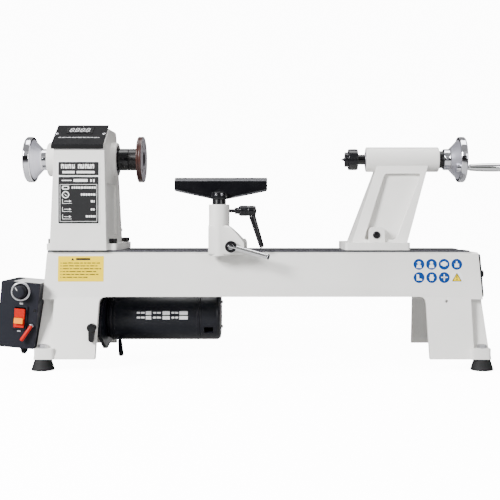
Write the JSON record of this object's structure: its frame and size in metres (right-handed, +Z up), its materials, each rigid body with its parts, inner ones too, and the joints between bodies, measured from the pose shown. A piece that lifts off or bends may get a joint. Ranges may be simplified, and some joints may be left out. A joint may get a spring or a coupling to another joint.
{
  "type": "wood lathe",
  "caption": "Bench wood lathe: cast bed on feet, headstock with faceplate and handwheel, tool rest on a sliding banjo, tailstock with crank wheel, belt-drive motor below and a control box.",
  "frame": {"origin": "on the bench surface, under the middle of the bed's length, in the vertical plane of the spindle axis", "axes": "+X along the bed from headstock to tailstock, +Y from the front to the back, +Z up"},
  "size_m": [0.8498, 0.2289, 0.3975],
  "materials": {
    "cast_paint": "semi-gloss warm light grey enamel on a cast surface",
    "black_paint": "satin black powder coat",
    "black_iron": "black satin enamel and black oxide",
    "steel": "turned and ground",
    "aluminium": "polished, fine turning lines",
    "chrome": "bright plated",
    "russet_iron": "oiled dark brown rim with a machined face",
    "black_plastic": "fine moulded texture",
    "red_plastic": "smooth",
    "yellow_plastic": "smooth",
    "clear_lens": "smoked window",
    "rubber": "matte black"
  },
  "bodies": {
    "frame": {"bed_casting": "cast_paint", "end_cover_plate": "black_paint", "end_cover_bolt": "black_paint", "foot_front_left": "rubber", "foot_back_left": "rubber", "foot_front_right": "rubber", "foot_back_right": "rubber", "headstock_casting": "cast_paint", "headstock_bolt_front_left": "black_iron", "headstock_bolt_back_left": "black_iron", "headstock_bolt_front_right": "black_iron", "headstock_bolt_back_right": "black_iron", "display_panel": "black_paint", "display_window": "clear_lens", "nameplate": "black_paint", "spindle_bearing_left": "steel", "spindle_bearing_right": "steel", "drive_belt": "rubber", "control_box_housing": "black_plastic", "control_box_panel": "black_plastic", "speed_dial_ring": "aluminium", "switch_frame": "black_plastic", "cord_gland": "black_plastic"},
    "spindle_line": {"spindle": "black_iron", "spindle_pulley": "aluminium", "faceplate": "russet_iron", "spindle_handwheel": "aluminium"},
    "belt_cover": {"belt_door": "cast_paint", "belt_door_knob": "black_plastic"},
    "motor": {"motor_can": "black_paint", "motor_front_bell": "black_paint", "motor_rear_bell": "black_paint", "motor_plate": "black_paint", "motor_pivot_bolt": "steel", "tension_handle": "black_paint"},
    "rotor": {"motor_armature": "steel", "motor_pulley": "aluminium"},
    "motor_lock": {"motor_lock_lever": "black_iron"},
    "speed_control": {"speed_knob": "black_plastic"},
    "paddle": {"switch_paddle": "red_plastic"},
    "key": {"safety_key": "yellow_plastic"},
    "toggle": {"direction_toggle": "red_plastic"},
    "banjo_clamp": {"banjo_clamp_plate": "steel"},
    "banjo_bolt": {"banjo_clamp_bolt": "steel"},
    "banjo": {"banjo_casting": "cast_paint"},
    "banjo_cam": {"banjo_cam_lever": "chrome"},
    "rest_post": {"tool_rest_post": "steel"},
    "rest": {"tool_rest": "black_iron"},
    "rest_lock": {"rest_lock_lever": "black_iron"},
    "tailstock": {"tailstock_casting": "cast_paint", "tail_clamp_plate": "steel", "tail_clamp_bolt": "steel"},
    "tail_cam": {"tail_cam_lever": "chrome"},
    "handwheel": {"tail_handwheel": "aluminium", "quill_screw": "steel"},
    "crank": {"crank_handle": "chrome"},
    "quill": {"quill": "steel", "live_centre_arbor": "steel"},
    "live_centre": {"live_centre_point": "black_iron"},
    "quill_lock": {"quill_lock_lever": "black_iron"}
  },
  "joints": [
    {"name": "spindle_spin", "type": "hinge", "parent": "frame", "child": "spindle_line", "pos_m": [-0.3, 0, 0.342], "axis": [1, 0, 0], "continuous": true},
    {"name": "belt_cover_hinge", "type": "hinge", "parent": "frame", "child": "belt_cover", "pos_m": [-0.2975, 0.0785, 0.222], "axis": [-1, 0, 0], "range_deg": [0, 95]},
    {"name": "motor_swing", "type": "hinge", "parent": "frame", "child": "motor", "pos_m": [-0.27, 0.056, 0.1], "axis": [-1, 0, 0], "range_deg": [0, 4], "deforming": ["drive_belt"]},
    {"name": "motor_spin", "type": "hinge", "parent": "motor", "child": "rotor", "pos_m": [-0.2, 0.015, 0.076], "axis": [1, 0, 0], "continuous": true},
    {"name": "motor_lock_turn", "type": "hinge", "parent": "frame", "child": "motor_lock", "pos_m": [-0.2715, -0.09, 0.068], "axis": [0, 1, 0], "range_deg": [-60, 20]},
    {"name": "speed_knob_turn", "type": "hinge", "parent": "frame", "child": "speed_control", "pos_m": [-0.38482, -0.1, 0.12522], "axis": [0, 1, 0], "range_deg": [0, 270]},
    {"name": "paddle_rock", "type": "hinge", "parent": "frame", "child": "paddle", "pos_m": [-0.38597, -0.094, 0.08395], "axis": [0.9959, 0, -0.0906], "range_deg": [-7, 0]},
    {"name": "key_pull", "type": "slide", "parent": "paddle", "child": "key", "axis": [0, -1, 0], "range_m": [0, 0.02]},
    {"name": "toggle_turn", "type": "hinge", "parent": "frame", "child": "toggle", "pos_m": [-0.36708, -0.099, 0.07089], "axis": [0, 1, 0], "range_deg": [0, 20]},
    {"name": "banjo_slide", "type": "slide", "parent": "frame", "child": "banjo_clamp", "axis": [1, 0, 0], "range_m": [-0.08, 0.14]},
    {"name": "banjo_swivel", "type": "hinge", "parent": "banjo_clamp", "child": "banjo_bolt", "pos_m": [-0.0498, 0, 0.165], "axis": [0, 0, 1], "range_deg": [-6, 10]},
    {"name": "banjo_reach", "type": "slide", "parent": "banjo_bolt", "child": "banjo", "axis": [0, -1, 0], "range_m": [0, 0.035]},
    {"name": "banjo_cam_turn", "type": "hinge", "parent": "banjo", "child": "banjo_cam", "pos_m": [-0.0498, -0.1, 0.197], "axis": [0, 1, 0], "range_deg": [-90, 5]},
    {"name": "rest_height", "type": "slide", "parent": "banjo", "child": "rest_post", "axis": [0, 0, 1], "range_m": [0, 0.04]},
    {"name": "rest_turn", "type": "hinge", "parent": "rest_post", "child": "rest", "pos_m": [-0.0695, -0.088, 0.275], "axis": [0, 0, 1], "range_deg": [-90, 30]},
    {"name": "rest_lock_turn", "type": "hinge", "parent": "banjo", "child": "rest_lock", "pos_m": [-0.03, -0.088, 0.254], "axis": [1, 0, 0], "range_deg": [-90, 60]},
    {"name": "tailstock_slide", "type": "slide", "parent": "frame", "child": "tailstock", "axis": [1, 0, 0], "range_m": [-0.14, 0.09]},
    {"name": "tail_cam_turn", "type": "hinge", "parent": "tailstock", "child": "tail_cam", "pos_m": [0.1862, 0.06, 0.2146], "axis": [0, 1, 0], "range_deg": [0, 60]},
    {"name": "handwheel_turn", "type": "hinge", "parent": "tailstock", "child": "handwheel", "pos_m": [0.32, 0, 0.342], "axis": [1, 0, 0], "range_deg": [0, 4800]},
    {"name": "crank_spin", "type": "hinge", "parent": "handwheel", "child": "crank", "pos_m": [0.38, -0.02494, 0.3272], "axis": [1, 0, 0], "continuous": true},
    {"name": "quill_travel", "type": "slide", "parent": "tailstock", "child": "quill", "axis": [-1, 0, 0], "range_m": [0, 0.04]},
    {"name": "live_centre_spin", "type": "hinge", "parent": "quill", "child": "live_centre", "pos_m": [0.15, 0, 0.342], "axis": [1, 0, 0], "continuous": true},
    {"name": "quill_lock_turn", "type": "hinge", "parent": "tailstock", "child": "quill_lock", "pos_m": [0.205, 0.035, 0.342], "axis": [0, 1, 0], "range_deg": [-60, 20]}
  ],
  "couplings": [
    {"joint": "motor_spin", "follows": "spindle_spin", "ratio": 1.2691},
    {"joint": "quill_travel", "follows": "handwheel_turn", "m_per_rad": 0.00047746}
  ]
}
